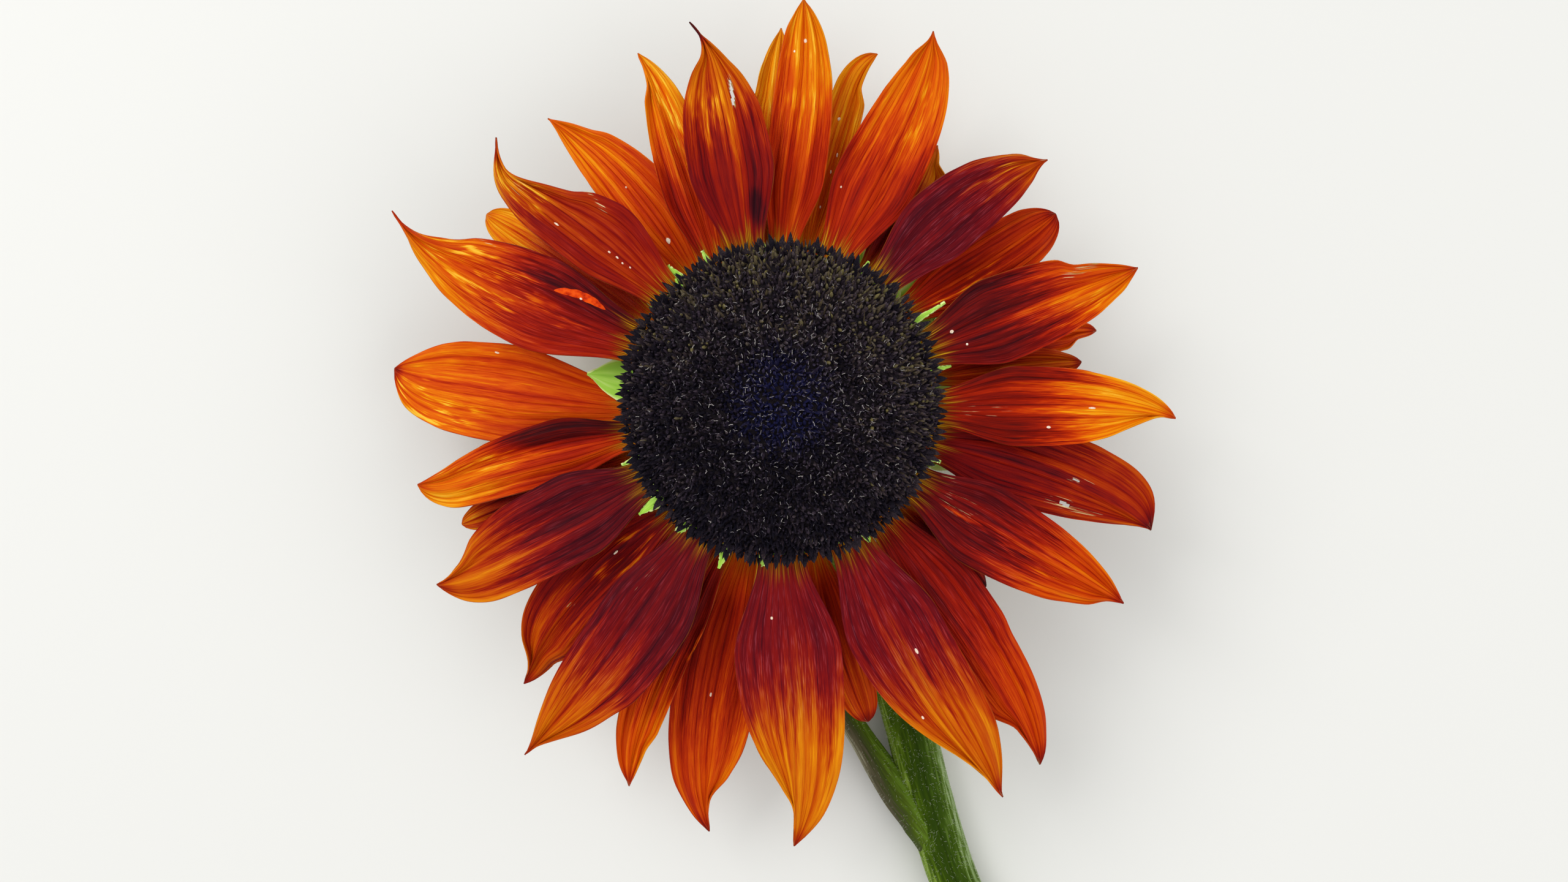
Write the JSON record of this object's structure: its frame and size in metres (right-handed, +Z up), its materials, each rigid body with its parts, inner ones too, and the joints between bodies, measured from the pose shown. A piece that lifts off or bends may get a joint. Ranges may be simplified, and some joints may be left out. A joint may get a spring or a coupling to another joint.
{
  "type": "cut sunflower bloom",
  "caption": "Cut sunflower bloom lying face up: dark domed disc, overlapping red-orange petals, green bracts, a bent neck, a hairy stem with a flat cut and a leaf tucked under the head.",
  "frame": {"origin": "middle of the box's underside, on the surface that the bloom lies on", "axes": "+Z up out of the bloom's face, +Y from the cut end of the stem towards the bloom's top, +X to the right seen from above"},
  "size_m": [0.1712, 0.2214, 0.0469],
  "materials": {
    "disc_florets": "matt",
    "petal_gold": "satin",
    "petal_orange": "satin",
    "petal_crimson": "satin",
    "green_scales": "matt",
    "green_stem": "matt",
    "leaf_green": "satin"
  },
  "bodies": {
    "root": {"disc": "disc_florets", "receptacle": "green_scales", "ray_01": "petal_orange", "ray_02": "petal_gold", "ray_03": "petal_orange", "ray_04": "petal_crimson", "ray_05": "petal_crimson", "ray_06": "petal_orange", "ray_07": "petal_orange", "ray_08": "petal_gold", "ray_09": "petal_crimson", "ray_10": "petal_gold", "ray_11": "petal_crimson", "ray_12": "petal_orange", "ray_13": "petal_crimson", "ray_14": "petal_orange", "ray_15": "petal_crimson", "ray_16": "petal_gold", "ray_17": "petal_crimson", "ray_18": "petal_orange", "ray_19": "petal_gold", "ray_20": "petal_crimson", "ray_21": "petal_crimson", "ray_22": "petal_crimson", "ray_23": "petal_gold", "ray_24": "petal_orange", "ray_25": "petal_gold", "ray_26": "petal_orange", "ray_27": "petal_gold", "ray_28": "petal_crimson", "ray_29": "petal_gold", "ray_30": "petal_gold", "ray_31": "petal_crimson", "ray_32": "petal_gold", "inner_bract_01": "green_scales", "inner_bract_02": "green_scales", "inner_bract_03": "green_scales", "inner_bract_04": "green_scales", "inner_bract_05": "green_scales", "inner_bract_06": "green_scales", "inner_bract_07": "green_scales", "inner_bract_08": "green_scales", "inner_bract_09": "green_scales", "inner_bract_10": "green_scales", "inner_bract_11": "green_scales", "inner_bract_12": "green_scales", "inner_bract_13": "green_scales", "outer_bract_01": "green_scales", "outer_bract_02": "green_scales", "outer_bract_03": "green_scales", "outer_bract_04": "green_scales", "outer_bract_05": "green_scales", "outer_bract_06": "green_scales", "outer_bract_07": "green_scales", "outer_bract_08": "green_scales", "neck": "green_stem", "stem": "green_stem", "leaf_stalk": "green_stem", "leaf_blade": "leaf_green"}
  },
  "joints": []
}
